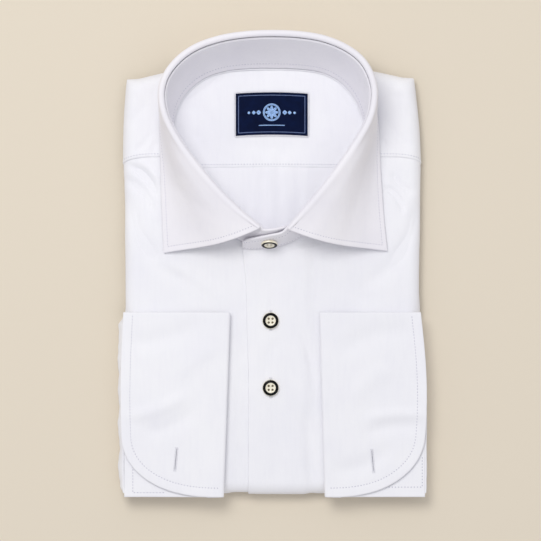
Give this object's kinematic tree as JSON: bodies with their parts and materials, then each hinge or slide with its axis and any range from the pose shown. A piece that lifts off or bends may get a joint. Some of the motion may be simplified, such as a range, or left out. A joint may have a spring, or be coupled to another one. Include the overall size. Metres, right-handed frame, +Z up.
{
  "type": "folded long sleeve dress shirt",
  "caption": "White cotton dress shirt with spread collar and turned-back double cuffs, folded for display and lying on its back.",
  "frame": {"origin": "under the middle of the folded shirt, on the surface that it lies on", "axes": "+Y from the tail fold towards the collar, +X towards the wearer's left, +Z up from the surface"},
  "size_m": [0.2283, 0.3416, 0.0536],
  "materials": {
    "shirting": "fine white cotton twill, pressed, soft sheen",
    "collar_cloth": "white cotton over a stiff interlining, smooth, edge stitched",
    "label_satin": "woven navy satin with a pale blue line",
    "button_horn": "polished black rim with a cream middle"
  },
  "bodies": {
    "root": {"folded_core": "shirting", "back_panel": "shirting", "yoke_inner": "shirting", "yoke_outer": "shirting", "front_right": "shirting", "front_left": "shirting", "collar_band": "collar_cloth", "collar_leaf": "collar_cloth", "cuff_right": "shirting", "cuff_left": "shirting", "sleeve_right": "shirting", "sleeve_left": "shirting", "label": "label_satin", "button_1": "button_horn", "button_2": "button_horn", "button_collar": "button_horn"}
  },
  "joints": []
}
